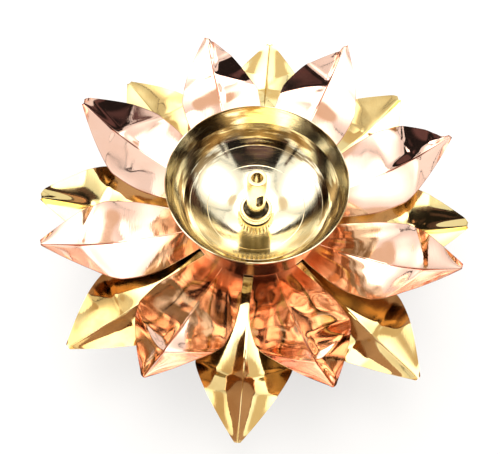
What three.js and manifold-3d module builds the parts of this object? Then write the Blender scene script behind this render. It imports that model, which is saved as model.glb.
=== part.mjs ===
// Lotus oil lamp: a turned brass bowl over two stamped petal layers and a spun foot, held by one screw.
// Millimetres, +Z up. The origin is the centre of the foot's base, on the table.
import * as THREE from 'three';
import { mergeVertices } from 'three/addons/utils/BufferGeometryUtils.js';
import Module from 'manifold-3d';

// Bowl
const rimRadius = 35;
const rimThickness = 1.2;
const bowlHeight = 28;
const bowlFloorThickness = 2;
const bowlBossRadius = 13;
const collarSeatClearance = 0.7;
const bowlSides = 48;
const bowlRings = 9;

// Petal layers
const petalCount = 8;
const sheetThickness = 0.6;
const hubRadius = 28.1;
const slotWidth = 3.6;
const petalTipWidth = 2.2;
const petalShoulderSoftness = 2.4;
const petalTaperPower = 1.25;
const petalRows = 14;
const petalCells = 8;

// A petal's sheet is bent up along its length, and this share of the bend falls between these shares of it
const breakBendShare = 0.5;
const breakStartShare = 0.45;
const breakEndShare = 0.65;

// Each half of a petal rises from the crease along its middle, by creaseSlope from creaseFull outwards
const creaseGrowthPower = 1.4;

// Angles are in degrees: rootAngle at a petal's fold and tipAngle at its tip are above the level, turnAngle
// turns the layer, and tiltAngles and swayAngles are how far each petal is bent up and sideways by hand.
const copper = {
  petalLength: 60,
  kinkDistance: 31,
  widest: 36,
  creaseStart: 0,
  creaseFull: 42,
  creaseSlope: 0.33,
  rootAngle: 10,
  tipAngle: 41,
  turnAngle: 17.6,
  tiltAngles: [1, 1.3, -4.3, -0.8, -4.3, -0.5, 3.2, 3.9],
  swayAngles: [-0.3, -0.3, -0.8, 0.2, 0.5, 1.8, 0.8, 1.7],
};
const brass = {
  petalLength: 63.3,
  kinkDistance: 35.7,
  widest: 37,
  creaseStart: 14,
  creaseFull: 46,
  creaseSlope: 0.3,
  rootAngle: -5.6,
  tipAngle: 16.6,
  turnAngle: -2.8,
  tiltAngles: [-6.3, -0.4, 3.8, 0.2, -0.6, 3.4, -3.1, 2.8],
  swayAngles: [2, 0.9, -0.4, 0.3, 0.6, 0, -0.2, -1.6],
};
const spacerRadius = 14;
const spacerThickness = 1.2;

// Foot
const footHeight = 20;
const footBaseRadius = 31;
const footTopRadius = 20;
const footWall = 1.2;
const footTopThickness = 1.6;
const footFlarePower = 2.2;
const footSides = 48;
const footRings = 7;

// Centre screw and its washers
const screwRadius = 2.5;
const screwHeadRadius = 4.75;
const screwHeadHeight = 3;
const screwSlotWidth = 1.2;
const screwSlotDepth = 1.5;
const screwInTube = 7;
const clampWasherRadius = 6.5;
const clampWasherThickness = 1;
const sealRadius = 6.2;
const sealThickness = 0.8;
const screwSides = 24;
const runningClearance = 0.1;
const cutterOverrun = 1;

// Knurled collar nut
const collarRadius = 6.6;
const collarHeight = 3.1;
const collarWall = 1.5;
const collarRecessDepth = 1.5;
const knurlCount = 24;
const knurlDepth = 0.35;

// Wick tube
const tubeRadius = 3.85;
const tubeBoreRadius = 2.2;
const tubeTopAboveRim = 0.5;
const tubeNeckWall = 0.7;
const tubeShoulderGap = 2.7;
const tubeSeatGap = 0.3;
const oilSlotWidth = 3;
const oilSlotHeight = 8.2;
const oilSlotAboveScrew = 0.8;
const oilSlotAzimuth = -68;

// Heights of the stack, from the table up
const brassUnderside = footHeight;
const copperUnderside = brassUnderside + sheetThickness + spacerThickness;
const bowlUnderside = copperUnderside + sheetThickness;
const rimHeight = bowlUnderside + bowlHeight;
const bowlFloor = bowlUnderside + bowlFloorThickness;
const collarUnderside = bowlFloor + sealThickness;
const collarTop = collarUnderside + collarHeight;
const collarRecessFloor = collarTop - collarRecessDepth;
const washerUnderside = footHeight - footTopThickness - clampWasherThickness;
const tubeTop = rimHeight + tubeTopAboveRim;
const tubeShoulder = collarTop + tubeShoulderGap;
const tubeBottom = collarRecessFloor + tubeSeatGap;
const screwTop = tubeBottom + screwInTube;
const screwHoleRadius = screwRadius + runningClearance;

const wasm = await Module();
wasm.setup();

function toSolid(geometry) {
  const bare = geometry.clone();
  bare.deleteAttribute('normal');
  bare.deleteAttribute('uv');
  const merged = mergeVertices(bare);
  const vertProperties = new Float32Array(merged.attributes.position.array);
  const triVerts = new Uint32Array(merged.index.array);
  return new wasm.Manifold(new wasm.Mesh({ numProp: 3, vertProperties, triVerts }));
}

function toGeometry(solid) {
  const mesh = solid.getMesh();
  const geometry = new THREE.BufferGeometry();
  geometry.setAttribute('position', new THREE.BufferAttribute(new Float32Array(mesh.vertProperties), 3));
  geometry.setIndex(new THREE.BufferAttribute(new Uint32Array(mesh.triVerts), 1));
  return geometry;
}

// A profile of [radius, height] points, listed upwards along the outside, turned about Z
function turned(profile, sides) {
  const closed = [...profile, profile[0]].map(([radius, height]) => new THREE.Vector2(radius, height));
  return new THREE.LatheGeometry(closed, sides).rotateX(Math.PI / 2);
}

function turnedRing(innerRadius, outerRadius, bottom, top, sides) {
  return turned([[innerRadius, bottom], [outerRadius, bottom], [outerRadius, top], [innerRadius, top]], sides);
}

function metal(color, roughness) {
  return new THREE.MeshStandardMaterial({ color, roughness, metalness: 1 });
}

const polishedBrass = metal(0xd8b45a, 0.15);
const polishedCopper = metal(0xd98a6a, 0.15);
const platedSteel = metal(0xb8b8b4, 0.3);
const rubber = new THREE.MeshStandardMaterial({ color: 0x262422, roughness: 0.8, metalness: 0 });

function piece(name, geometry, material) {
  const mesh = new THREE.Mesh(geometry, material);
  mesh.name = name;
  return mesh;
}

// The bowl's hollow is part of a sphere through the rim's inner edge and the edge of its flat seat.
// The outside is the sphere of the same centre through the rim's outer edge.
function makeBowl() {
  const mouthRadius = rimRadius - rimThickness;
  const seatRadius = collarRadius + knurlDepth / 2 + collarSeatClearance;
  const depth = rimHeight - bowlFloor;
  const centre = (mouthRadius ** 2 - seatRadius ** 2 - depth ** 2) / (2 * depth);
  const hollowRadius = Math.hypot(mouthRadius, centre);
  const outerRadius = Math.hypot(rimRadius, centre);
  const arcPoints = (sphereRadius, from, to) => {
    const start = Math.asin(from / sphereRadius);
    const end = Math.asin(to / sphereRadius);
    return Array.from({ length: bowlRings + 1 }, (_, i) => {
      const angle = start + ((end - start) * i) / bowlRings;
      return [sphereRadius * Math.sin(angle), rimHeight + centre - sphereRadius * Math.cos(angle)];
    });
  };
  const outside = arcPoints(outerRadius, bowlBossRadius, rimRadius);
  const inside = arcPoints(hollowRadius, mouthRadius, seatRadius);
  return turned([
    [screwHoleRadius, bowlUnderside],
    [bowlBossRadius, bowlUnderside],
    ...outside,
    ...inside,
    [screwHoleRadius, bowlFloor],
  ], bowlSides);
}

// Where a bent petal's sheet is after a length measured along it: a gentle arc, a sharper one at the break
// and a gentle one to the tip
function alongBend(layer, tilt, length) {
  const wholeBend = THREE.MathUtils.degToRad(layer.tipAngle - layer.rootAngle);
  const gentleShare = (1 - breakBendShare) / 2;
  const arcs = [
    [0, breakStartShare, gentleShare],
    [breakStartShare, breakEndShare, breakBendShare],
    [breakEndShare, 1, gentleShare],
  ];
  let angle = THREE.MathUtils.degToRad(layer.rootAngle + tilt);
  let reach = 0;
  let rise = 0;
  for (const [from, to, bendShare] of arcs) {
    const whole = (to - from) * layer.petalLength;
    const left = Math.max(0, length - from * layer.petalLength);
    const walked = to < 1 ? Math.min(left, whole) : left;
    const bend = (wholeBend * bendShare * walked) / whole;
    const chord = bend === 0 ? walked : (walked * Math.sin(bend / 2)) / (bend / 2);
    reach += chord * Math.cos(angle + bend / 2);
    rise += chord * Math.sin(angle + bend / 2);
    angle += bend;
  }
  return [reach, rise];
}

// How steeply a petal's halves rise from its crease, at a distance from its fold
function creaseSlopeAt(layer, distance) {
  const grown = (distance - layer.creaseStart) / (layer.creaseFull - layer.creaseStart);
  return layer.creaseSlope * Math.min(1, Math.max(0, grown)) ** creaseGrowthPower;
}

// Half the width of the flat petal blank: a straight slot edge, a rounded shoulder, and a curved taper
function blankHalfWidth(layer, distance) {
  const halfPitch = Math.PI / petalCount;
  const kink = hubRadius + layer.kinkDistance;
  const shoulder = (radius) => {
    const slotEdge = radius * Math.tan(halfPitch) - slotWidth / 2 / Math.cos(halfPitch);
    const gap = slotEdge - layer.widest / 2;
    return (slotEdge + layer.widest / 2 - Math.hypot(gap, petalShoulderSoftness)) / 2;
  };
  if (distance <= kink) return shoulder(distance);
  const taper = (distance - kink) / (hubRadius + layer.petalLength - kink);
  const tipHalf = petalTipWidth / 2;
  return tipHalf + (shoulder(kink) - tipHalf) * (1 - taper ** petalTaperPower);
}

// One stamped sheet: a flat hub with the screw hole, and bent petals parted by slots
function makePetalLayer(layer, underside) {
  const halfPitch = Math.PI / petalCount;
  const rootAngle = halfPitch - Math.asin(slotWidth / 2 / hubRadius);
  const points = [];
  const faces = [];
  const addPoint = (x, y, z) => points.push([x, y, z]) - 1;
  const addQuad = (a, b, c, d) => faces.push([a, b, c], [a, c, d]);

  const petals = Array.from({ length: petalCount }, (_, petal) => {
    const tilt = layer.tiltAngles[petal % layer.tiltAngles.length];
    const sway = layer.swayAngles[petal % layer.swayAngles.length];
    const rows = [];
    for (let row = 0; row <= petalRows; row += 1) {
      const share = row / petalRows;
      const turnDegrees = (petal * 360) / petalCount + layer.turnAngle + sway * share ** 2;
      const azimuth = THREE.MathUtils.degToRad(turnDegrees);
      const line = [];
      for (let cell = 0; cell <= petalCells; cell += 1) {
        const across = (2 * cell) / petalCells - 1;
        const foldX = hubRadius * Math.cos(rootAngle * across);
        const foldY = hubRadius * Math.sin(rootAngle * across);
        const flatX = foldX + (hubRadius + layer.petalLength - foldX) * share;
        const edgeX = hubRadius * Math.cos(rootAngle);
        const edgeFlatX = edgeX + (hubRadius + layer.petalLength - edgeX) * share;
        const y = row === 0 ? foldY : across * blankHalfWidth(layer, edgeFlatX);
        const [reach, rise] = alongBend(layer, tilt, flatX - foldX);
        const fold = creaseSlopeAt(layer, flatX - hubRadius) * Math.abs(y);
        const x = foldX + reach;
        line.push(addPoint(
          x * Math.cos(azimuth) - y * Math.sin(azimuth),
          x * Math.sin(azimuth) + y * Math.cos(azimuth),
          underside + sheetThickness + rise + fold,
        ));
      }
      rows.push(line);
    }
    return rows;
  });

  const rim = petals.flatMap((rows) => rows[0]);
  const hole = rim.map((point) => {
    const [x, y] = points[point];
    const scale = screwHoleRadius / Math.hypot(x, y);
    return addPoint(x * scale, y * scale, underside + sheetThickness);
  });
  const next = (list, i) => list[(i + 1) % list.length];
  rim.forEach((point, i) => addQuad(hole[i], point, next(rim, i), next(hole, i)));
  for (const rows of petals) {
    for (let row = 0; row < petalRows; row += 1) {
      for (let cell = 0; cell < petalCells; cell += 1) {
        addQuad(rows[row][cell], rows[row + 1][cell], rows[row + 1][cell + 1], rows[row][cell + 1]);
      }
    }
  }
  return thickened(points, faces, sheetThickness);
}

// Gives a surface, seen from above, a thickness downwards and walls along every free edge
function thickened(points, faces, thickness) {
  const count = points.length;
  const lower = points.map(([x, y, z]) => [x, y, z - thickness]);
  const edges = new Map();
  for (const face of faces) {
    face.forEach((from, i) => edges.set(`${from} ${face[(i + 1) % 3]}`, [from, face[(i + 1) % 3]]));
  }
  const walls = [];
  for (const [from, to] of edges.values()) {
    if (!edges.has(`${to} ${from}`)) {
      walls.push([from, from + count, to + count], [from, to + count, to]);
    }
  }
  const undersides = faces.map(([a, b, c]) => [a + count, c + count, b + count]);
  const geometry = new THREE.BufferGeometry();
  geometry.setAttribute('position', new THREE.Float32BufferAttribute([...points, ...lower].flat(), 3));
  geometry.setIndex([...faces, ...undersides, ...walls].flat());
  return geometry;
}

// A hollow spun foot: a flat top, and a wall that flares out to the table
function makeFoot() {
  const flare = (height) => {
    const share = 1 - height / footHeight;
    return footTopRadius + (footBaseRadius - footTopRadius) * share ** footFlarePower;
  };
  const ceiling = footHeight - footTopThickness;
  const outside = Array.from({ length: footRings + 1 }, (_, i) => {
    const height = (footHeight * i) / footRings;
    return [flare(height), height];
  });
  const inside = Array.from({ length: footRings + 1 }, (_, i) => {
    const height = ceiling * (1 - i / footRings);
    return [flare(height) - footWall, height];
  });
  return turned([...outside, [screwHoleRadius, footHeight], [screwHoleRadius, ceiling], ...inside], footSides);
}

function makeScrew() {
  const headBottom = washerUnderside - screwHeadHeight;
  const body = turned([
    [0, headBottom],
    [screwHeadRadius, headBottom],
    [screwHeadRadius, washerUnderside],
    [screwRadius, washerUnderside],
    [screwRadius, screwTop],
    [0, screwTop],
  ], screwSides);
  const slot = new THREE.BoxGeometry(3 * screwHeadRadius, screwSlotWidth, 2 * screwSlotDepth);
  slot.translate(0, 0, headBottom);
  return toGeometry(toSolid(body).subtract(toSolid(slot)));
}

// The nut's knurl is a ring of ridges; its threaded hole is shown as a plain bore
function makeCollarNut() {
  const recessRadius = collarRadius - collarWall;
  const knurl = new THREE.Shape(Array.from({ length: 2 * knurlCount }, (_, i) => {
    const radius = collarRadius + (i % 2 ? knurlDepth / 2 : -knurlDepth / 2);
    const angle = (i * Math.PI) / knurlCount;
    return new THREE.Vector2(radius * Math.cos(angle), radius * Math.sin(angle));
  }));
  const body = new THREE.ExtrudeGeometry(knurl, { depth: collarHeight, bevelEnabled: false });
  body.translate(0, 0, collarUnderside);
  const hollow = turned([
    [0, collarUnderside - cutterOverrun],
    [screwHoleRadius, collarUnderside - cutterOverrun],
    [screwHoleRadius, collarRecessFloor],
    [recessRadius, collarRecessFloor],
    [recessRadius, collarTop + cutterOverrun],
    [0, collarTop + cutterOverrun],
  ], screwSides);
  return toGeometry(toSolid(body).subtract(toSolid(hollow)));
}

// A tube with a narrower neck below its shoulder, and an upright slot that lets the oil reach the wick
function makeWickTube() {
  const neckRadius = screwHoleRadius + tubeNeckWall;
  const tube = turned([
    [screwHoleRadius, tubeBottom],
    [neckRadius, tubeBottom],
    [neckRadius, tubeShoulder],
    [tubeRadius, tubeShoulder],
    [tubeRadius, tubeTop],
    [tubeBoreRadius, tubeTop],
    [tubeBoreRadius, screwTop + runningClearance],
    [screwHoleRadius, screwTop + runningClearance],
  ], screwSides);
  const halfStraight = (oilSlotHeight - oilSlotWidth) / 2;
  const outline = new THREE.Shape();
  outline.absarc(0, halfStraight, oilSlotWidth / 2, 0, Math.PI, false);
  outline.absarc(0, -halfStraight, oilSlotWidth / 2, Math.PI, 2 * Math.PI, false);
  const cutter = new THREE.ExtrudeGeometry(outline, {
    depth: 2 * tubeRadius,
    bevelEnabled: false,
    curveSegments: 6,
  });
  cutter.rotateX(Math.PI / 2);
  cutter.rotateZ(THREE.MathUtils.degToRad(oilSlotAzimuth + 90));
  cutter.translate(0, 0, screwTop + oilSlotAboveScrew + oilSlotHeight / 2);
  return toGeometry(toSolid(tube).subtract(toSolid(cutter)));
}

const lamp = new THREE.Group();
lamp.add(
  piece('foot', makeFoot(), polishedBrass),
  piece('brass_petals', makePetalLayer(brass, brassUnderside), polishedBrass),
  piece(
    'petal_spacer',
    turnedRing(screwHoleRadius, spacerRadius, brassUnderside + sheetThickness, copperUnderside, bowlSides),
    polishedBrass,
  ),
  piece('copper_petals', makePetalLayer(copper, copperUnderside), polishedCopper),
  piece('bowl', makeBowl(), polishedBrass),
  piece('seal_washer', turnedRing(screwHoleRadius, sealRadius, bowlFloor, collarUnderside, screwSides), rubber),
  piece('collar_nut', makeCollarNut(), polishedBrass),
  piece('wick_tube', makeWickTube(), polishedBrass),
  piece(
    'clamp_washer',
    turnedRing(screwHoleRadius, clampWasherRadius, washerUnderside, footHeight - footTopThickness, screwSides),
    platedSteel,
  ),
  piece('centre_screw', makeScrew(), platedSteel),
);

export default lamp;
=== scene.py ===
"""Looks of the lotus lamp. Sizes in the sections below are in millimetres, and MM turns them into metres."""

import math

import bmesh
import bpy
import numpy as np
from mathutils import Matrix, Vector


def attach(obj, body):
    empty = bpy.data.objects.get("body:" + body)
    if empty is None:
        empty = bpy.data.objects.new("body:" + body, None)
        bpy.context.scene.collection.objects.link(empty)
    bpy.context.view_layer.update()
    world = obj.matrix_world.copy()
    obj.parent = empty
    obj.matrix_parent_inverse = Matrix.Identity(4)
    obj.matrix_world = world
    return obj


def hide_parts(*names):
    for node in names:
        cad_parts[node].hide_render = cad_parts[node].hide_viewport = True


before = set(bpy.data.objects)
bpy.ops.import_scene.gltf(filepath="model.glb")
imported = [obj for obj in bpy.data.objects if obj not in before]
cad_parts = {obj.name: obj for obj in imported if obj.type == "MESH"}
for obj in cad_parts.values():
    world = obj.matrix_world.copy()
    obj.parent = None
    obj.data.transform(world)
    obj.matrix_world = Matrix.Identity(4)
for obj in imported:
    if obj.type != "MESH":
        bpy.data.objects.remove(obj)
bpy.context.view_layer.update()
MM = 0.001


# Sizes, the same as the solids' but for the bowl's hollow and the rim's thickness, which follow the photo, and
# for the dents of the petals
RIM_RADIUS, RIM_THICKNESS, RIM_HEIGHT = 35.0, 1.2, 50.4
BOWL_UNDERSIDE, BOWL_FLOOR, BOSS_RADIUS, SEAT_RADIUS = 22.4, 24.4, 13.0, 7.475
# Each band of the hollow, from the rim down: inner radius, slope at its two ends in degrees, points.
# A fine line ends each band that ends beyond FINEST_LINE
BOWL_BANDS = [(31.6, 75.0, 70.0, 24), (29.8, 58.0, 54.0, 12), (26.7, 49.0, 44.5, 28), (20.0, 43.5, 32.5, 50),
              (14.0, 32.5, 23.0, 40), (7.475, 23.0, 6.0, 40)]
FINEST_LINE = 15.0
# Steps inwards and down across a fine line
LINE_STEPS = [(0.01, 0.02), (0.04, 0.03), (0.08, 0.035)]
LIP = 0.45
HOLE_RADIUS = 2.6
HUB_RADIUS, SLOT_WIDTH, TIP_WIDTH, SHEET = 28.1, 3.6, 2.2, 0.6
PETALS, SHOULDER_SOFTNESS, TAPER_POWER = 8, 2.4, 1.25
BREAK_SHARE, BREAK_START, BREAK_END, CREASE_GROWTH = 0.5, 0.45, 0.65, 1.4
CREASE_ROUND, EDGE_STRIP = 0.3, 0.975
# The break across a petal: half the petal's width there and how the line curves; how round it is, how far its
# bend reaches, and the width of its ridge
BREAK_HALF_WIDTH, BREAK_CURVE, BREAK_ROUND, BREAK_REACH, RIDGE_WIDTH = 17, 1.3, 0.6, 6.0, 1.1
WRINKLE_SIZE, WAVE_SIZE, WAVE_HEIGHT = 6.5, 26.0, 0.25
# Radii between which the painted shade round the hub and the dull finish on it fade out
HUB_SHADE_OVER, HUB_DULL_OVER = (33, 47), (28.5, 32)
ROW_SPACING, CELL_SPACING = 1.15, 1.3
FOOT_HEIGHT, FOOT_BASE_RADIUS, FOOT_TOP_RADIUS = 20.0, 31.0, 20.0
FOOT_WALL, FOOT_TOP, FOOT_FLARE = 1.2, 1.6, 2.2
SCREW_RADIUS, SCREW_TOP, HEAD_RADIUS, HEAD_BOTTOM = 2.5, 34.1, 4.75, 14.4
THREAD_PITCH, THREAD_DEPTH, DRIVER_SLOT, DRIVER_DEPTH = 0.8, 0.42, 1.2, 1.5
# Each ring: outer radius, underside, top
CLAMP, SPACER, SEAL = (6.5, 17.4, 18.4), (14.0, 20.6, 21.8), (6.2, 24.4, 25.2)
COLLAR_RADIUS, COLLAR_BOTTOM, COLLAR_TOP, COLLAR_FLOOR, COLLAR_WALL = 6.6, 25.2, 28.3, 26.8, 1.5
KNURLS, KNURL_DEPTH, KNURL_HEIGHT = 30, 0.34, 1.5
TUBE_RADIUS, TUBE_BORE, TUBE_BOTTOM, TUBE_SHOULDER, TUBE_TOP, NECK_RADIUS = 3.85, 2.2, 27.1, 31.0, 50.9, 3.3
OIL_SLOT_WIDTH, OIL_SLOT_HEIGHT, OIL_SLOT_MIDDLE, OIL_SLOT_AZIMUTH = 3.0, 8.2, 39.0, -68
COPPER = dict(
    # Underside of the sheet; the blank's length beyond the hub, where it starts to taper, and its width
    underside=21.8, length=60.0, kink=31.0, widest=36.0,
    # Where the crease starts, where it is full, and its slope; the sheet's angle at the root and at the tip
    start=0.0, full=42.0, slope=0.33, root=10.0, tip=41.0,
    # Degrees: the layer's turn, and how each petal is tilted up and swayed sideways
    turn=17.6, tilts=[1, 1.3, -4.3, -0.8, -4.3, -0.5, 3.2, 3.9],
    sways=[-0.3, -0.3, -0.8, 0.2, 0.5, 1.8, 0.8, 1.7],
    # How full the lobes and the wings are, how sharp the break is and its ridge, and the dents of each petal
    crown=0.25, wing=0.0, knee_bend=0.12, ridge=0.16, dents=0.10,
    dented=[0.3, 0.3, 0.3, 0.3, 0.4, 1, 1, 0.8], seed=3,
    # Half a petal: where the break meets the edge and the crease, the twist along and across beyond it, and
    # the tip's bend. Halves bent in their own way are named by petal and side
    half=(35, 45, 0, 0, 0),
    halves={
        (0, 1): (36, 44, -0.14, 0.12, -0.2), (1, 1): (28, 42, 0.06, 0.02, -0.3),
        (2, -1): (33, 44, 0.15, -0.08, -0.3), (3, -1): (30, 42, 0.09, 0.04, 0),
        (5, -1): (35, 45, -0.12, 0, 0), (6, 1): (35, 45, -0.14, 0, 0)},
    # Painted shade: how dark each petal's two halves are painted, standing for shade and dark reflections, and
    # the radii between which it turns so
    painted_shade=[(0, 0), (0, 0), (0, 0), (0, 0), (0, 0), (0.1, 0.05), (0.45, 0.05), (0, 0)],
    painted_shade_over=(84, 62),
)
BRASS = dict(
    underside=20.0, length=63.3, kink=35.7, widest=37.0,
    start=14.0, full=46.0, slope=0.3, root=-5.6, tip=16.6,
    turn=-2.8, tilts=[-6.3, -0.4, 3.8, 0.2, -0.6, 3.4, -3.1, 2.8],
    sways=[2, 0.9, -0.4, 0.3, 0.6, 0, -0.2, -1.6],
    crown=0.2, wing=0.5, knee_bend=0.07, ridge=0.12, dents=0.05, dented=[1] * 8, seed=60,
    half=(36, 40, 0, 0, 0),
    halves={
        (0, 1): (34, 40, 0.10, 0.28, 0), (1, 1): (36, 40, 0.08, 0.16, 0), (4, -1): (34, 40, 0.16, 0.18, 0)},
    # Painted shade on each petal's two halves, standing for shade and dark reflections, and the radii between
    # which it turns so
    painted_shade=[(0.1, 0.1), (0, 0.8), (0, 0), (0.8, 0), (0.1, 0), (1, 1), (0.8, 0.25), (0.5, 0.6)],
    painted_shade_over=(50, 68),
)


# Mesh helpers
def mark_edges(mesh, sharp=40):
    """Writes 1 at the points of sharp edges and 0 elsewhere, for the worn edges, painted dark edges and painted
    highlights in the materials.
    """
    worn = np.zeros(len(mesh.vertices), dtype=np.float32)
    bm = bmesh.new()
    bm.from_mesh(mesh)
    for edge in bm.edges:
        if len(edge.link_faces) == 2 and edge.calc_face_angle(0) > math.radians(sharp):
            for vert in edge.verts:
                worn[vert.index] = 1
    bm.free()
    mesh.attributes.new("edge", "FLOAT", "POINT").data.foreach_set("value", worn)


def mark_soot_and_shade(piece, inside):
    """Writes how much soot and old oil each point holds, also as painted shade in recesses, from a function of
    its radius and height.
    """
    values = [inside(math.hypot(v.co.x, v.co.y) / MM, v.co.z / MM) for v in piece.data.vertices]
    layer = piece.data.attributes.new("soot_and_shade", "FLOAT", "POINT")
    layer.data.foreach_set("value", np.array(values, dtype=np.float32))


def add_piece(name, verts, faces, material, body, replaces, slot, sharp=35):
    """Makes a smooth shaded piece that stands for a CAD node and rides on its body."""
    mesh = bpy.data.meshes.new(name)
    mesh.from_pydata([tuple(float(c) * MM for c in v) for v in verts], [], faces)
    mesh.validate()
    bm = bmesh.new()
    bm.from_mesh(mesh)
    bmesh.ops.remove_doubles(bm, verts=bm.verts, dist=1e-7)
    bmesh.ops.recalc_face_normals(bm, faces=bm.faces)
    for face in bm.faces:
        face.smooth = True
    for edge in bm.edges:
        if len(edge.link_faces) == 2 and edge.calc_face_angle(0) > math.radians(sharp):
            edge.smooth = False
    bm.to_mesh(mesh)
    bm.free()
    mesh.materials.append(material)
    mark_edges(mesh)
    piece = bpy.data.objects.new(name, mesh)
    bpy.context.scene.collection.objects.link(piece)
    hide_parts(replaces)
    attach(piece, body)
    return piece


def rounded(corners, steps=5):
    """Points of a closed profile whose corners (radius, height, fillet) are rounded by their fillets."""
    points = []
    count = len(corners)
    for i, (r, z, fillet) in enumerate(corners):
        here = Vector((r, z))
        before = Vector(corners[i - 1][:2]) - here
        after = Vector(corners[(i + 1) % count][:2]) - here
        if fillet <= 0:
            points.append((r, z))
            continue
        half = before.angle(after) / 2
        reach = min(fillet / math.tan(half), before.length * 0.49, after.length * 0.49)
        radius = reach * math.tan(half)
        middle = (before.normalized() + after.normalized()).normalized() * (radius / math.sin(half)) + here
        start = here + before.normalized() * reach - middle
        end = here + after.normalized() * reach - middle
        turn = start.angle_signed(end)
        for k in range(steps + 1):
            angle = -turn * k / steps
            c, s = math.cos(angle), math.sin(angle)
            points.append((middle.x + start.x * c - start.y * s, middle.y + start.x * s + start.y * c))
    return points


def lathe(profile, sides):
    """Vertices and faces of a closed profile of (radius, height) turned about Z."""
    verts = []
    for r, z in profile:
        for i in range(sides):
            a = 2 * math.pi * i / sides
            verts.append((r * math.cos(a), r * math.sin(a), z))
    faces = []
    for p in range(len(profile)):
        q = (p + 1) % len(profile)
        for i in range(sides):
            j = (i + 1) % sides
            faces.append((p * sides + i, p * sides + j, q * sides + j, q * sides + i))
    return verts, faces


def cut(piece, verts, faces):
    """Cuts the closed shape of verts and faces out of a piece."""
    mesh = bpy.data.meshes.new("cutter")
    mesh.from_pydata([tuple(c * MM for c in v) for v in verts], [], faces)
    bm = bmesh.new()
    bm.from_mesh(mesh)
    bmesh.ops.recalc_face_normals(bm, faces=bm.faces)
    bm.to_mesh(mesh)
    bm.free()
    cutter = bpy.data.objects.new("cutter", mesh)
    bpy.context.scene.collection.objects.link(cutter)
    modifier = piece.modifiers.new("cut", "BOOLEAN")
    modifier.operation = "DIFFERENCE"
    modifier.solver = "EXACT"
    modifier.object = cutter
    result = bpy.data.meshes.new_from_object(piece.evaluated_get(bpy.context.evaluated_depsgraph_get()))
    piece.modifiers.clear()
    piece.data = result
    bpy.data.objects.remove(cutter)


# Petals
def walk(layer, tilt, length):
    """Reach and rise of the bent sheet after a length along it: a gentle arc, the break, a gentle arc."""
    whole = math.radians(layer["tip"] - layer["root"])
    gentle = (1 - BREAK_SHARE) / 2
    angle = np.full_like(length, math.radians(layer["root"] + tilt))
    reach = np.zeros_like(length)
    rise = np.zeros_like(length)
    stretches = ((0, BREAK_START, gentle), (BREAK_START, BREAK_END, BREAK_SHARE), (BREAK_END, 1, gentle))
    for start, end, share in stretches:
        span = (end - start) * layer["length"]
        part = np.clip(length - start * layer["length"], 0, span if end < 1 else None)
        bend = whole * share * part / span
        chord = part * np.sinc(bend / 2 / math.pi)
        reach += chord * np.cos(angle + bend / 2)
        rise += chord * np.sin(angle + bend / 2)
        angle = angle + bend
    return reach, rise


def half_width(layer, distance):
    """Half the width of the flat petal blank at a distance from the lamp's axis."""
    half_pitch = math.pi / PETALS
    kink = HUB_RADIUS + layer["kink"]

    def shoulder(r):
        slot_edge = r * math.tan(half_pitch) - SLOT_WIDTH / 2 / math.cos(half_pitch)
        gap = slot_edge - layer["widest"] / 2
        return (slot_edge + layer["widest"] / 2 - np.hypot(gap, SHOULDER_SOFTNESS)) / 2

    taper = np.clip((distance - kink) / (HUB_RADIUS + layer["length"] - kink), 0, 1)
    wide = shoulder(np.minimum(distance, kink))
    return wide + (TIP_WIDTH / 2 - wide) * taper ** TAPER_POWER


def smooth(x, start, end):
    """Rises smoothly from 0 at start to 1 at end."""
    t = np.clip((x - start) / (end - start), 0, 1)
    return t * t * (3 - 2 * t)


def ripple(x, y, seed, size):
    """Soft irregular dents, about size apart and between -1 and 1, always the same for a seed."""
    rng = np.random.RandomState(seed)
    total = np.zeros_like(x)
    for _ in range(7):
        a = rng.uniform(0, 2 * math.pi)
        k = 2 * math.pi / (size * rng.uniform(0.75, 1.6))
        total += np.sin(k * (x * math.cos(a) + y * math.sin(a)) + rng.uniform(0, 2 * math.pi))
    return total / 4


def relief(layer, petal, x, y, across):
    """How far the stamped and hand bent sheet stands above its plain bend, at x along and y across it."""
    grown = np.clip((x - layer["start"]) / (layer["full"] - layer["start"]), 0, 1) ** CREASE_GROWTH
    slope = layer["slope"] * grown
    side = np.abs(y)
    share = np.abs(across)
    half = side.max(axis=1, keepdims=True)
    # The crease is rounded, and the halves rise steeply beside it and level out towards the edges
    fold = np.sqrt(side ** 2 + CREASE_ROUND ** 2) - CREASE_ROUND
    height = slope * (fold + layer["wing"] * half * np.sin(math.pi * share) / math.pi)
    # The lobes between the root and the break are full
    lobe = smooth(x, 2, 14) * (1 - smooth(x, 24, 38))
    height += layer["crown"] * lobe * 4 * share * (1 - share)
    # The break is a sharp line that runs tipwards from each edge to the crease
    for which in (-1, 1):
        at_edge, at_crease, along, steeper, tip = layer["halves"].get((petal, which), layer["half"])
        past = x - at_crease + (at_crease - at_edge) * (side / BREAK_HALF_WIDTH) ** BREAK_CURVE
        bend = layer["knee_bend"] * (
            np.sqrt(past ** 2 + BREAK_ROUND ** 2) - np.sqrt(past ** 2 + BREAK_REACH ** 2))
        bend -= layer["ridge"] * np.exp(-(past / RIDGE_WIDTH) ** 2) * smooth(side, 0, 2.5)
        # Beyond it some halves are twisted by hand, and some tips bent
        twist = steeper * side + along * (x - at_edge - 10) * smooth(side, 0, 3)
        bend += smooth(x, at_edge - 5, at_edge + 7) * twist
        tip_start = at_edge + 14
        bent = np.clip(x - tip_start, 0, None) * smooth(x, tip_start, tip_start + 4)
        bend += tip * bent * smooth(side, 0, 2)
        height += np.where(y * which > 0, bend, 0)
    # Wrinkles fan out from the root, and the whole petal is slightly wavy
    fan = y * 30 / (x + 12)
    wrinkles = ripple(0.45 * x, fan, layer["seed"] + petal, WRINKLE_SIZE) * smooth(x, 1, 8)
    height += layer["dents"] * layer["dented"][petal] * wrinkles
    height += WAVE_HEIGHT * ripple(x, y, layer["seed"] + 40 + petal, WAVE_SIZE) * smooth(x, 2, 16)
    return height


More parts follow.
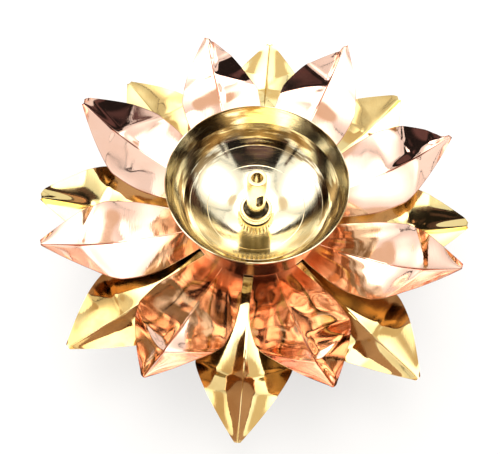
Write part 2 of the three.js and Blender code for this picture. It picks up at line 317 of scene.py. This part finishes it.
def mark_painted_shade(piece, layer, upper):
    """Writes how dark each petal half is painted, a painted shade for shade and dark reflections that is fullest
    round the hub, and how dull the hub and the underside are.
    """
    places = np.empty(3 * len(piece.data.vertices))
    piece.data.vertices.foreach_get("co", places)
    x, y = places.reshape(-1, 3)[:, :2].T / MM
    turned = (np.degrees(np.arctan2(y, x)) - layer["turn"]) * PETALS / 360
    petal = np.round(turned)
    halves = np.array(layer["painted_shade"])[petal.astype(int) % PETALS]
    r = np.hypot(x, y)
    painted_shade = np.where(turned < petal, halves[:, 0], halves[:, 1]) * smooth(r, *layer["painted_shade_over"])
    # Round the hub, under the bowl and the copper petals, the sheet is painted in shade
    painted_shade = np.maximum(painted_shade, 1 - smooth(r, *HUB_SHADE_OVER))
    # The underside and the hub are dull, and take the underside colour, which is partly painted shade
    dull = np.where(np.arange(len(x)) >= upper, 1, 0.5 - 0.5 * smooth(r, *HUB_DULL_OVER))
    for name, values in (("painted_shade", painted_shade), ("dull", dull)):
        written = piece.data.attributes.new(name, "FLOAT", "POINT")
        written.data.foreach_set("value", values.astype(np.float32))


def petal_layer(name, layer, material, body, slot, rows=84, cells=56):
    """Makes one sheet of eight petals round a hub with a hole, from its layer's sizes."""
    half_pitch = math.pi / PETALS
    root_angle = half_pitch - math.asin(SLOT_WIDTH / 2 / HUB_RADIUS)
    share = (np.arange(rows + 1) / rows)[:, None] ** ROW_SPACING
    steps = np.arange(cells // 2 + 1) / (cells // 2)
    steps = np.append(EDGE_STRIP * steps ** CELL_SPACING, 1.0)
    across = np.concatenate([-steps[:0:-1], steps])[None, :]
    cells = across.size - 1
    # The flat blank of a petal, from its fold line at the hub to its tip
    fold_x = HUB_RADIUS * np.cos(root_angle * across)
    fold_y = HUB_RADIUS * np.sin(root_angle * across)
    flat_x = fold_x + (HUB_RADIUS + layer["length"] - fold_x) * share
    edge_x = HUB_RADIUS * math.cos(root_angle)
    edge_flat = edge_x + (HUB_RADIUS + layer["length"] - edge_x) * share
    y = np.where(share == 0, fold_y, across * half_width(layer, edge_flat))
    points = []
    faces = []
    grids = []
    for petal in range(PETALS):
        reach, rise = walk(layer, layer["tilts"][petal], flat_x - fold_x)
        x = fold_x + reach
        stamped = relief(layer, petal, flat_x - HUB_RADIUS, y, across + 0 * share)
        z = layer["underside"] + SHEET + rise + stamped
        z[0, :] = layer["underside"] + SHEET
        azimuth = np.radians(petal * 360 / PETALS + layer["turn"] + layer["sways"][petal] * share ** 2)
        px = x * np.cos(azimuth) - y * np.sin(azimuth)
        py = x * np.sin(azimuth) + y * np.cos(azimuth)
        base = len(points)
        points += np.stack([px, py, z], -1).reshape(-1, 3).tolist()
        grids.append((base + np.arange((rows + 1) * (cells + 1))).reshape(rows + 1, cells + 1))
    # The hub, in rings from the petals' roots in to the hole
    roots = [int(i) for g in grids for i in g[0]]
    rings = [roots]
    for radius in (HUB_RADIUS - 0.5, 20.0, HOLE_RADIUS):
        inner = []
        for i in roots:
            x, y, z = points[i]
            scale = radius / math.hypot(x, y)
            inner.append(len(points))
            points.append([x * scale, y * scale, layer["underside"] + SHEET])
        rings.append(inner)
    for outer, inner in zip(rings, rings[1:]):
        for i in range(len(roots)):
            j = (i + 1) % len(roots)
            faces.append((inner[i], outer[i], outer[j], inner[j]))
    for g in grids:
        for r in range(rows):
            for c in range(cells):
                faces.append((int(g[r, c]), int(g[r + 1, c]), int(g[r + 1, c + 1]), int(g[r, c + 1])))
    # The underside, and walls along every edge that only one face has
    count = len(points)
    lower = [[x, y, z - SHEET] for x, y, z in points]
    used = dict.fromkeys(pair for face in faces for pair in zip(face, face[1:] + face[:1]))
    walls = [(a, a + count, b + count, b) for a, b in used if (b, a) not in used]
    under = [tuple(i + count for i in reversed(face)) for face in faces]
    node = name.replace("_sheet", "")
    sheet = add_piece(name, points + lower, faces + under + walls, material, body, node, slot)
    mark_painted_shade(sheet, layer, count)


# Materials. Their lengths are in metres
# Radii over which the bowl's dark streaks, old lacquer and painted dark reflections, come in, and their colour;
# the colour of soot and painted shade
DARK_STREAKS_OVER = (0.0235, 0.0275)
LACQUER_AND_REFLECTION_DARK, SOOT_AND_SHADE_COLOR = (0.22, 0.12, 0.03), (0.035, 0.022, 0.012)


def new_material(name):
    material = bpy.data.materials.new(name)
    material.use_nodes = True
    nodes = material.node_tree.nodes
    return material, nodes, material.node_tree.links, nodes["Principled BSDF"]


def math_node(nodes, links, operation, *inputs):
    node = nodes.new("ShaderNodeMath")
    node.operation = operation
    for socket, value in zip(node.inputs, inputs):
        if isinstance(value, (int, float)):
            socket.default_value = value
        else:
            links.new(value, socket)
    return node.outputs[0]


def noise(nodes, links, vector, scale, detail=4.0, rough=0.5):
    node = nodes.new("ShaderNodeTexNoise")
    node.inputs["Scale"].default_value = scale
    node.inputs["Detail"].default_value = detail
    node.inputs["Roughness"].default_value = rough
    links.new(vector, node.inputs["Vector"])
    return node.outputs["Fac"]


def spread(nodes, links, value, low, high, to_low, to_high):
    node = nodes.new("ShaderNodeMapRange")
    for socket, number in zip(node.inputs[1:5], (low, high, to_low, to_high)):
        socket.default_value = number
    links.new(value, node.inputs["Value"])
    return node.outputs["Result"]


def mix_color(nodes, links, factor, a, b):
    node = nodes.new("ShaderNodeMix")
    node.data_type = "RGBA"
    links.new(factor, node.inputs["Factor"])
    for socket, color in ((node.inputs[6], a), (node.inputs[7], b)):
        if isinstance(color, tuple):
            socket.default_value = (*color, 1)
        else:
            links.new(color, socket)
    return node.outputs[2]


def object_place(nodes):
    return nodes.new("ShaderNodeTexCoord").outputs["Object"]


def attribute(nodes, name):
    node = nodes.new("ShaderNodeAttribute")
    node.attribute_name = name
    return node.outputs["Fac"]


def bump_normal(nodes, links, height, strength, shader):
    bump = nodes.new("ShaderNodeBump")
    bump.inputs["Strength"].default_value = strength
    bump.inputs["Distance"].default_value = 0.0001
    links.new(height, bump.inputs["Height"])
    links.new(bump.outputs["Normal"], shader.inputs["Normal"])


def sheet_metal(name, color, tint, painted_shade, painted_dark_edge, rubbed_highlight_edge, unpolished_and_shaded, rough):
    """Sheet polished on its upper side: tarnish, painted shade on some petal halves and round the hub, an
    unpolished underside darkened as painted shade, smudges, rolling scratches, and edges painted dark as painted
    shade and bright as a painted highlight where the sheet is painted darker.
    """
    material, nodes, links, shader = new_material(name)
    place = object_place(nodes)
    tarnish = spread(nodes, links, noise(nodes, links, place, 34, 5, 0.6), 0.42, 0.68, 0, 1)
    base = mix_color(nodes, links, tarnish, color, tint)
    shade_amount, dull, edge = (attribute(nodes, kind) for kind in ("painted_shade", "dull", "edge"))
    uneven = spread(nodes, links, noise(nodes, links, place, 110, 3, 0.5), 0.35, 0.6, 0.6, 1)
    # Painted shade and painted dark reflections darken the sheet where the attribute says
    base = mix_color(nodes, links, math_node(nodes, links, "MULTIPLY", shade_amount, uneven), base, painted_shade)
    # The unpolished underside and hub, darker than the top as painted shade
    base = mix_color(nodes, links, dull, base, unpolished_and_shaded)
    # The edges are painted dark, a painted shade, but bright where the sheet is painted darker, a painted
    # highlight that stands for rubbed edges
    rubbed_highlight_share = spread(nodes, links, shade_amount, 0.05, 0.4, 0, 1)
    painted_edge = mix_color(nodes, links, rubbed_highlight_share, painted_dark_edge, rubbed_highlight_edge)
    links.new(mix_color(nodes, links, edge, base, painted_edge), shader.inputs["Base Color"])
    shader.inputs["Metallic"].default_value = 1
    smudge = spread(nodes, links, noise(nodes, links, place, 70, 6, 0.65), 0.45, 0.75, rough, rough + 0.12)
    worn = math_node(nodes, links, "MULTIPLY", edge, 0.12)
    matt = math_node(nodes, links, "MULTIPLY_ADD", dull, 0.1, worn)
    links.new(math_node(nodes, links, "ADD", smudge, matt), shader.inputs["Roughness"])
    stretch = nodes.new("ShaderNodeMapping")
    stretch.inputs["Scale"].default_value = (2200, 260, 600)
    stretch.inputs["Rotation"].default_value = (0, 0, 0.6)
    links.new(place, stretch.inputs["Vector"])
    scratch = noise(nodes, links, stretch.outputs["Vector"], 1, 2, 0.5)
    bump_normal(nodes, links, scratch, 0.06, shader)
    return material


def turned_metal(name, color, tint, bright, rough, marks, lacquer_and_reflection=0.0):
    """Turned metal: fine rings from the lathe, smudges in the gloss, corners worn bright with a painted
    highlight, dark streaks round the outer part that are old lacquer and painted dark reflections, and soot with
    painted shade in recesses.
    """
    material, nodes, links, shader = new_material(name)
    place = object_place(nodes)
    split = nodes.new("ShaderNodeSeparateXYZ")
    links.new(place, split.inputs[0])
    squares = [math_node(nodes, links, "MULTIPLY", split.outputs[i], split.outputs[i]) for i in (0, 1)]
    radius = math_node(nodes, links, "SQRT", math_node(nodes, links, "ADD", *squares))
    rings = nodes.new("ShaderNodeCombineXYZ")
    links.new(radius, rings.inputs[0])
    links.new(split.outputs[2], rings.inputs[1])
    tarnish = spread(nodes, links, noise(nodes, links, place, 45, 5, 0.6), 0.42, 0.7, 0, 1)
    base = mix_color(nodes, links, tarnish, color, tint)
    # Sharp corners worn bright, which is also a painted highlight
    base = mix_color(nodes, links, attribute(nodes, "edge"), base, bright)
    # Old lacquer and painted dark reflections lie in streaks round the outer part
    around = nodes.new("ShaderNodeCombineXYZ")
    for i, socket in enumerate(around.inputs[:2]):
        direction = math_node(nodes, links, "DIVIDE", split.outputs[i], radius)
        links.new(math_node(nodes, links, "MULTIPLY", direction, 1.6), socket)
    links.new(math_node(nodes, links, "MULTIPLY", radius, 520.0), around.inputs[2])
    streak = spread(nodes, links, noise(nodes, links, around.outputs[0], 1, 3, 0.6), 0.44, 0.54, 0, 1)
    outer = spread(nodes, links, radius, *DARK_STREAKS_OVER, 0, lacquer_and_reflection)
    darkened = math_node(nodes, links, "MULTIPLY", streak, outer)
    base = mix_color(nodes, links, darkened, base, LACQUER_AND_REFLECTION_DARK)
    patchy = spread(nodes, links, noise(nodes, links, place, 700, 3, 0.6), 0.3, 0.6, 0.75, 1)
    # Soot, and painted shade in recesses
    sooty_shade = math_node(nodes, links, "MULTIPLY", attribute(nodes, "soot_and_shade"), patchy)
    links.new(mix_color(nodes, links, sooty_shade, base, SOOT_AND_SHADE_COLOR), shader.inputs["Base Color"])
    shader.inputs["Metallic"].default_value = 1
    smudge = spread(nodes, links, noise(nodes, links, place, 90, 5, 0.6), 0.45, 0.75, rough, rough + 0.1)
    ring_gloss = spread(nodes, links, noise(nodes, links, rings.outputs[0], 900, 3, 0.7), 0.3, 0.7, 0, 0.05)
    gloss = math_node(nodes, links, "ADD", smudge, ring_gloss)
    dull = math_node(nodes, links, "MULTIPLY", sooty_shade, 0.3)
    links.new(math_node(nodes, links, "ADD", gloss, dull), shader.inputs["Roughness"])
    bump_normal(nodes, links, noise(nodes, links, rings.outputs[0], 1600, 4, 0.75), marks, shader)
    return material


def rubber_material(name):
    """Matt black rubber with a fine grain and some dust."""
    material, nodes, links, shader = new_material(name)
    place = object_place(nodes)
    grain = noise(nodes, links, place, 900, 4, 0.6)
    dust = spread(nodes, links, noise(nodes, links, place, 180, 4, 0.6), 0.4, 0.7, 0, 1)
    dusty = mix_color(nodes, links, dust, (0.018, 0.016, 0.015), (0.04, 0.037, 0.033))
    links.new(dusty, shader.inputs["Base Color"])
    links.new(spread(nodes, links, grain, 0.3, 0.7, 0.6, 0.85), shader.inputs["Roughness"])
    bump_normal(nodes, links, grain, 0.3, shader)
    return material


# The bowl's dark streaks round the upper wall are old lacquer and painted dark reflections
bowl_brass = turned_metal(
    "bowl_brass", color=(0.96, 0.87, 0.63), tint=(0.93, 0.80, 0.50), bright=(0.96, 0.87, 0.66),
    rough=0.05, marks=0.15, lacquer_and_reflection=0.9)
fitting_brass = turned_metal(
    "fitting_brass", color=(0.91, 0.74, 0.40), tint=(0.84, 0.60, 0.26), bright=(0.95, 0.82, 0.54),
    rough=0.19, marks=0.3)
# Petal sheets: their dark edges are painted shade, their rubbed edges a painted highlight, and their underside
# colour is partly painted shade
petal_brass = sheet_metal(
    "petal_brass", color=(0.91, 0.75, 0.36), tint=(0.88, 0.68, 0.28), painted_shade=(0.62, 0.40, 0.14),
    painted_dark_edge=(0.42, 0.28, 0.09), rubbed_highlight_edge=(0.84, 0.66, 0.34), unpolished_and_shaded=(0.50, 0.38, 0.23), rough=0.04)
petal_copper = sheet_metal(
    "petal_copper", color=(0.95, 0.64, 0.50), tint=(0.93, 0.59, 0.44), painted_shade=(0.68, 0.26, 0.13),
    painted_dark_edge=(0.45, 0.20, 0.13), rubbed_highlight_edge=(0.92, 0.66, 0.54), unpolished_and_shaded=(0.50, 0.31, 0.25), rough=0.04)
steel = turned_metal(
    "plated_steel", color=(0.62, 0.62, 0.60), tint=(0.50, 0.50, 0.49), bright=(0.75, 0.75, 0.74),
    rough=0.22, marks=0.3)
rubber = rubber_material("seal_rubber")


# The bowl
def bowl_arc(radius, centre, start, end, count):
    """Points of an arc about the height centre on the axis, between two distances from the axis."""
    a = math.asin(start / radius)
    b = math.asin(end / radius)
    turns = [a + (b - a) * i / count for i in range(count + 1)]
    return [(radius * math.sin(t), centre - radius * math.cos(t)) for t in turns]


def band(start, end_radius, start_slope, end_slope, count):
    """Points down the bowl's wall whose slope, in degrees, changes evenly; the first point is left out."""
    (r, z), points = start, []
    step = (r - end_radius) / count
    for i in range(count):
        slope = start_slope + (end_slope - start_slope) * (i + 0.5) / count
        r, z = r - step, z - step * math.tan(math.radians(slope))
        points.append((r, z))
    return points


mouth = RIM_RADIUS - RIM_THICKNESS
depth = RIM_HEIGHT - BOWL_FLOOR
centre = RIM_HEIGHT + (mouth ** 2 - SEAT_RADIUS ** 2 - depth ** 2) / (2 * depth)
outer_radius = math.hypot(RIM_RADIUS, centre - RIM_HEIGHT)

# The hollow was turned in bands with a fine line between them
inside = [(RIM_RADIUS - LIP, RIM_HEIGHT - LIP / 2)]
for end_radius, start_slope, end_slope, count in BOWL_BANDS:
    inside += band(inside[-1], end_radius, start_slope, end_slope, count)
    if end_radius > FINEST_LINE:
        r, z = inside[-1]
        inside += [(r - inwards, z - down) for inwards, down in LINE_STEPS]
# The bands end just above the seat, so what is left over is shared out down the wall
drop = inside[-1][1] - BOWL_FLOOR - 0.08
inside = [(r, z - drop * (RIM_HEIGHT - z) / (RIM_HEIGHT - inside[-1][1])) for r, z in inside]
# The outside is a plain sphere. Known fault: from 28.9 to 32.4 mm out the hollow stands past it by up to 0.33 mm
outside = bowl_arc(outer_radius, centre, BOSS_RADIUS, RIM_RADIUS - 0.02, 60)
lip = LIP / 2
turns = [math.pi * k / 12 for k in range(13)]
rim = [(RIM_RADIUS - lip + lip * math.cos(t), RIM_HEIGHT - lip * (1 - math.sin(t))) for t in turns]
seat = [(SEAT_RADIUS - 0.1, BOWL_FLOOR + 0.06), (SEAT_RADIUS - 0.4, BOWL_FLOOR), (HOLE_RADIUS, BOWL_FLOOR)]
boss = [(HOLE_RADIUS, BOWL_UNDERSIDE), (BOSS_RADIUS, BOWL_UNDERSIDE)]
profile = [*boss, *outside[:-2], *rim, *inside[1:-1], *seat]
add_piece("oil_bowl", *lathe(profile, 192), bowl_brass, "stand", "bowl", "polished_brass")


# Collar nut with a beaded rim, round the tube's foot
recess = COLLAR_RADIUS - COLLAR_WALL


def collar():
    """Verts and faces of the collar nut: a recessed ring whose outer wall is beaded towards its top."""
    profile = rounded([
        (HOLE_RADIUS, COLLAR_BOTTOM, 0), (COLLAR_RADIUS, COLLAR_BOTTOM, 0.25),
        (COLLAR_RADIUS, COLLAR_TOP, 0.5), (recess, COLLAR_TOP, 0.4),
        (recess, COLLAR_FLOOR, 0.2), (HOLE_RADIUS, COLLAR_FLOOR, 0)])
    verts, faces = lathe(profile, 240)
    shaped = []
    for x, y, z in verts:
        r = math.hypot(x, y)
        a = math.atan2(y, x)
        if r > recess + 0.3:
            wave = abs(math.cos(a * KNURLS / 2)) ** 0.7 * 2 - 1
            wave *= min(1, max(0, (z - COLLAR_TOP + KNURL_HEIGHT) / 0.6))
            grow = 1 + wave * KNURL_DEPTH / 2 / COLLAR_RADIUS * min(1, (r - recess - 0.3) / 0.8)
            x, y = x * grow, y * grow
        shaped.append((x, y, z))
    return shaped, faces


collar_ring = add_piece("collar_ring", *collar(), fitting_brass, "collar", "collar_nut", "polished_brass")
# Soot and painted shade in the collar's recess
mark_soot_and_shade(collar_ring, lambda r, z: 1 if r < recess + 0.1 and z < COLLAR_TOP - 0.35 else 0)


# Wick tube
tube_profile = rounded([
    (HOLE_RADIUS, TUBE_BOTTOM, 0.1), (NECK_RADIUS, TUBE_BOTTOM, 0.2), (NECK_RADIUS, TUBE_SHOULDER, 0.1),
    (TUBE_RADIUS, TUBE_SHOULDER, 0.25), (TUBE_RADIUS, TUBE_TOP, 0.35), (TUBE_BORE, TUBE_TOP, 0.3),
    (TUBE_BORE, SCREW_TOP + 0.1, 0), (HOLE_RADIUS, SCREW_TOP + 0.1, 0)])
tube = add_piece(
    "wick_tube_body", *lathe(tube_profile, 96), fitting_brass, "wick_holder", "wick_tube", "polished_brass")
# The oil slot, with round ends
half = OIL_SLOT_WIDTH / 2
straight = (OIL_SLOT_HEIGHT - OIL_SLOT_WIDTH) / 2
arc = [math.pi * k / 32 for k in range(33)]
outline = [(half * math.cos(t), straight + half * math.sin(t)) for t in arc]
outline += [(-x, -z) for x, z in outline]
turn = math.radians(OIL_SLOT_AZIMUTH)
out, side = (math.cos(turn), math.sin(turn)), (-math.sin(turn), math.cos(turn))
n = len(outline)
slot_verts = [(out[0] * d + side[0] * x, out[1] * d + side[1] * x, z + OIL_SLOT_MIDDLE)
              for d in (0, 2 * TUBE_RADIUS) for x, z in outline]
slot_walls = [(i, i + n, (i + 1) % n + n, (i + 1) % n) for i in range(n)]
cut(tube, slot_verts, [tuple(range(n)), tuple(range(2 * n - 1, n - 1, -1)), *slot_walls])


# Soot and painted shade on the neck under the shoulder and in the bore
def tube_soot_and_shade(r, z):
    in_bore = r < TUBE_BORE + 0.1 and z < TUBE_TOP - 1.5
    return 0.9 if z < TUBE_SHOULDER - 0.05 or in_bore else 0


mark_soot_and_shade(tube, tube_soot_and_shade)


# Petals
petal_layer("copper_petals_sheet", COPPER, petal_copper, "copper_layer", "petal_copper")
petal_layer("brass_petals_sheet", BRASS, petal_brass, "brass_layer", "petal_brass")


# The foot and the fastenings under the bowl
def flare(height):
    """Outer radius of the foot at a height."""
    return FOOT_TOP_RADIUS + (FOOT_BASE_RADIUS - FOOT_TOP_RADIUS) * (1 - height / FOOT_HEIGHT) ** FOOT_FLARE


ceiling = FOOT_HEIGHT - FOOT_TOP
foot_profile = [(flare(FOOT_HEIGHT * i / 40), FOOT_HEIGHT * i / 40) for i in range(40)]
foot_profile += [(FOOT_TOP_RADIUS - 0.05, FOOT_HEIGHT - 0.2), (FOOT_TOP_RADIUS - 0.4, FOOT_HEIGHT)]
foot_profile += [(HOLE_RADIUS, FOOT_HEIGHT), (HOLE_RADIUS, ceiling)]
foot_profile += [(flare(ceiling * (1 - i / 40)) - FOOT_WALL, ceiling * (1 - i / 40)) for i in range(41)]
add_piece("foot_shell", *lathe(foot_profile, 128), bowl_brass, "stand", "foot", "polished_brass")


def ring(name, node, size, fillet, material, slot):
    """Makes a flat ring round the screw."""
    outer, bottom, top = size
    corners = [(HOLE_RADIUS, bottom), (outer, bottom), (outer, top), (HOLE_RADIUS, top)]
    profile = rounded([(r, z, fillet) for r, z in corners], 3)
    add_piece(name, *lathe(profile, 96), material, "stand", node, slot)


ring("petal_spacer_ring", "petal_spacer", SPACER, 0.15, fitting_brass, "polished_brass")
ring("seal_ring", "seal_washer", SEAL, 0.25, rubber, "seal_rubber")
ring("clamp_ring", "clamp_washer", CLAMP, 0.15, steel, "plated_steel")


# Centre screw: a slotted cheese head under the foot, and a threaded end inside the tube
def screw():
    """Verts and faces of the screw, whose thread is drawn as rings."""
    head_top = CLAMP[1]
    root = SCREW_RADIUS - THREAD_DEPTH
    profile = [(0.0, HEAD_BOTTOM), (HEAD_RADIUS - 0.5, HEAD_BOTTOM),
               (HEAD_RADIUS - 0.15, HEAD_BOTTOM + 0.15), (HEAD_RADIUS, HEAD_BOTTOM + 0.5),
               (HEAD_RADIUS, head_top), (SCREW_RADIUS, head_top)]
    first = head_top + 0.4
    for k in range(int((SCREW_TOP - 0.6 - first) / THREAD_PITCH)):
        base = first + k * THREAD_PITCH
        profile += [(SCREW_RADIUS, base), (SCREW_RADIUS, base + 0.1),
                    (root, base + 0.45), (root, base + 0.5)]
    profile += [(SCREW_RADIUS, SCREW_TOP - 0.5), (SCREW_RADIUS - 0.4, SCREW_TOP), (0.0, SCREW_TOP)]
    return lathe(profile, 64)


def cut_box(piece, sx, sy, sz, height):
    """Cuts a box, centred on the axis at a height, out of a piece."""
    corners = [(i & 1, i >> 1 & 1, i >> 2) for i in range(8)]
    verts = [(x * sx - sx / 2, y * sy - sy / 2, z * sz - sz / 2 + height) for x, y, z in corners]
    faces = [(0, 2, 3, 1), (4, 5, 7, 6), (0, 1, 5, 4), (2, 6, 7, 3), (0, 4, 6, 2), (1, 3, 7, 5)]
    cut(piece, verts, faces)


head = add_piece("centre_screw_body", *screw(), steel, "stand", "centre_screw", "plated_steel")
cut_box(head, 3 * HEAD_RADIUS, DRIVER_SLOT, 2 * DRIVER_DEPTH, HEAD_BOTTOM)


# Floor and light, in metres. The floor glows in part, more in the distance than near the lamp
FLOOR_GLOW, FLOOR_GLOW_IN_METAL = 0.65, 0.5
GLOW_GROWS_OVER = (0.2, 0.7)
FLOOR_SIZE = 6.0
# Width of a softbox's black frame
BOX_FRAME = 0.014


def plane(name, corners, material):
    """A flat face with a material, linked to the scene."""
    mesh = bpy.data.meshes.new(name)
    mesh.from_pydata(corners, [], [(0, 1, 2, 3)])
    mesh.materials.append(material)
    flat = bpy.data.objects.new(name, mesh)
    bpy.context.scene.collection.objects.link(flat)
    return flat


def rectangle(wide, deep):
    """Corners of a rectangle about the origin."""
    x, y = wide / 2, deep / 2
    return [(-x, -y, 0), (x, -y, 0), (x, y, 0), (-x, y, 0)]


def plain_floor():
    material, nodes, links, shader = new_material("floor")
    nodes.remove(shader)
    diffuse = nodes.new("ShaderNodeBsdfDiffuse")
    diffuse.inputs["Color"].default_value = (0.95, 0.91, 0.85, 1)
    glow = nodes.new("ShaderNodeEmission")
    path = nodes.new("ShaderNodeLightPath")
    in_metal = math_node(
        nodes, links, "MAXIMUM", path.outputs["Is Glossy Ray"], path.outputs["Is Transmission Ray"])
    in_metal = math_node(nodes, links, "MULTIPLY", in_metal, FLOOR_GLOW_IN_METAL)
    away = nodes.new("ShaderNodeVectorMath")
    away.operation = "LENGTH"
    links.new(object_place(nodes), away.inputs[0])
    by_distance = spread(nodes, links, away.outputs["Value"], *GLOW_GROWS_OVER, FLOOR_GLOW, 1)
    seen_plainly = math_node(nodes, links, "MULTIPLY", path.outputs["Is Camera Ray"], by_distance)
    blend = nodes.new("ShaderNodeMixShader")
    links.new(math_node(nodes, links, "MAXIMUM", in_metal, seen_plainly), blend.inputs[0])
    links.new(diffuse.outputs[0], blend.inputs[1])
    links.new(glow.outputs[0], blend.inputs[2])
    links.new(blend.outputs[0], nodes["Material Output"].inputs["Surface"])
    floor = plane("floor", rectangle(FLOOR_SIZE, FLOOR_SIZE), material)


plain_floor()

world = bpy.data.worlds.new("studio")
world.use_nodes = True
bpy.context.scene.world = world
nodes, links = world.node_tree.nodes, world.node_tree.links
path = nodes.new("ShaderNodeLightPath")
seen = math_node(nodes, links, "MAXIMUM", path.outputs["Is Camera Ray"], path.outputs["Is Glossy Ray"])
seen = math_node(nodes, links, "MAXIMUM", seen, path.outputs["Is Transmission Ray"])
links.new(spread(nodes, links, seen, 0, 1, 0.25, 1.0), nodes["Background"].inputs["Strength"])
nodes["Background"].inputs["Color"].default_value = (1, 1, 1, 1)


def falloff(nodes, links, wide, deep):
    """1 in the middle of a rectangle, and 0 from the oval that touches its sides."""
    shrink = nodes.new("ShaderNodeMapping")
    shrink.inputs["Scale"].default_value = (2 / wide, 2 / deep, 1)
    links.new(object_place(nodes), shrink.inputs["Vector"])
    ball = nodes.new("ShaderNodeTexGradient")
    ball.gradient_type = "QUADRATIC_SPHERE"
    links.new(shrink.outputs[0], ball.inputs[0])
    return ball.outputs["Fac"]


def aim(light, place, target):
    """Puts a plane at a place, with its face towards a target."""
    light.location = place
    light.rotation_euler = (Vector(target) - Vector(place)).to_track_quat("-Z", "Y").to_euler()


def softbox(name, place, size, bright, at_edges=0.95):
    """A glowing plane, brightest in its middle and about as bright as the room at its edges."""
    material, nodes, links, shader = new_material(name)
    nodes.remove(shader)
    glow = nodes.new("ShaderNodeEmission")
    lit = spread(nodes, links, falloff(nodes, links, *size), 0, 0.4, at_edges, bright)
    # A thin black frame runs round the box
    near = nodes.new("ShaderNodeSeparateXYZ")
    links.new(object_place(nodes), near.inputs[0])
    for axis in (0, 1):
        reach = math_node(nodes, links, "ABSOLUTE", near.outputs[axis])
        inner = math_node(nodes, links, "LESS_THAN", reach, size[axis] / 2 - BOX_FRAME)
        lit = math_node(nodes, links, "MULTIPLY", lit, inner)
    links.new(lit, glow.inputs["Strength"])
    links.new(glow.outputs[0], nodes["Material Output"].inputs["Surface"])
    box = plane(name, rectangle(*size), material)
    aim(box, place, (0, 0, 0.03))
    box.visible_camera = box.visible_shadow = False


softbox("softbox_top", (0.0, 0.28, 1.0), (1.1, 1.1), 3.8, 1.1)
softbox("softbox_back", (-0.11, 0.80, 0.53), (1.5, 0.95), 3.4, 1.15)
softbox("softbox_left", (-0.75, 0.065, 0.61), (1.2, 1.1), 3.2)
softbox("softbox_right", (0.66, 0.055, 0.68), (1.0, 1.1), 3.2)


# A white card close above the camera and a warm one at each back corner, seen only in the metal
def glowing_card(name, place, size, color, bright):
    """A plane that glows and fades out towards its edges."""
    material, nodes, links, shader = new_material(name)
    nodes.remove(shader)
    glow = nodes.new("ShaderNodeEmission")
    glow.inputs["Color"].default_value = (*color, 1)
    glow.inputs["Strength"].default_value = bright
    fade = nodes.new("ShaderNodeMixShader")
    links.new(spread(nodes, links, falloff(nodes, links, *size), 0, 0.12, 0, 1), fade.inputs[0])
    links.new(nodes.new("ShaderNodeBsdfTransparent").outputs[0], fade.inputs[1])
    links.new(glow.outputs[0], fade.inputs[2])
    links.new(fade.outputs[0], nodes["Material Output"].inputs["Surface"])
    card = plane(name, rectangle(*size), material)
    aim(card, place, (0, -0.03, 0.03))
    card.visible_camera = card.visible_diffuse = card.visible_shadow = card.visible_transmission = False


WARM = (0.95, 0.78, 0.60)
glowing_card("card_over", (0, -0.065, 0.365), (0.24, 0.20), (1, 1, 1), 3.4)
glowing_card("card_left", (-0.26, 0.19, 0.50), (0.24, 0.22), WARM, 0.9)
glowing_card("card_right", (0.23, 0.165, 0.52), (0.18, 0.18), WARM, 0.9)


# Dark flags behind and beside the camera, seen only in the metal
def dark_flag(name, corners):
    material, nodes, links, shader = new_material(name)
    folds = spread(nodes, links, noise(nodes, links, object_place(nodes), 11, 1, 0.4), 0.5, 0.62, 0, 1)
    shade = mix_color(nodes, links, folds, (0.012, 0.010, 0.010), (0.09, 0.05, 0.05))
    links.new(shade, shader.inputs["Base Color"])
    shader.inputs["Roughness"].default_value = 1
    shader.inputs["Specular IOR Level"].default_value = 0
    flag = plane(name, corners, material)
    flag.visible_camera = flag.visible_diffuse = flag.visible_shadow = flag.visible_transmission = False


def upright(middle, wide, low, high):
    """Corners of an upright plane that faces the lamp, through a point on the table."""
    across = Vector((-middle[1], middle[0])).normalized() * wide / 2
    left, right = Vector(middle) - across, Vector(middle) + across
    return [(*left, low), (*right, low), (*right, high), (*left, high)]


behind = [(-0.11, 0.08), (0.13, 0.08), (0.13, 0.33), (-0.11, 0.33)]
dark_flag("flag_front", [(x, -0.125, z) for x, z in behind])
dark_flag("flag_left", upright((-0.24, -0.18), 0.024, 0.0, 0.36))
dark_flag("flag_right", upright((0.23, -0.19), 0.024, 0.0, 0.30))


# Camera: the photograph's solved view
CAMERA_PLACE, LOOKS_DOWN, ROLL = (-0.002268, -0.110919, 0.225238), 62.71, 0.0262
FOCAL_PIXELS, PHOTO_WIDTH = 545.8, 500
elevation = math.radians(LOOKS_DOWN)
right, forward = Vector((1, 0, 0)), Vector((0, math.cos(elevation), -math.sin(elevation)))
up = right.cross(forward)
turned_right = right * math.cos(ROLL) + up * math.sin(ROLL)
turned_up = up * math.cos(ROLL) - right * math.sin(ROLL)
camera = bpy.data.objects.new("camera", bpy.data.cameras.new("camera"))
bpy.context.scene.collection.objects.link(camera)
basis = Matrix((turned_right, turned_up, -forward)).transposed().to_4x4()
camera.matrix_world = Matrix.Translation(CAMERA_PLACE) @ basis
camera.data.sensor_width = 36
camera.data.lens = camera.data.sensor_width * FOCAL_PIXELS / PHOTO_WIDTH
camera.data.clip_start = 0.01
bpy.context.scene.camera = camera
bpy.context.scene.view_settings.view_transform = "Standard"
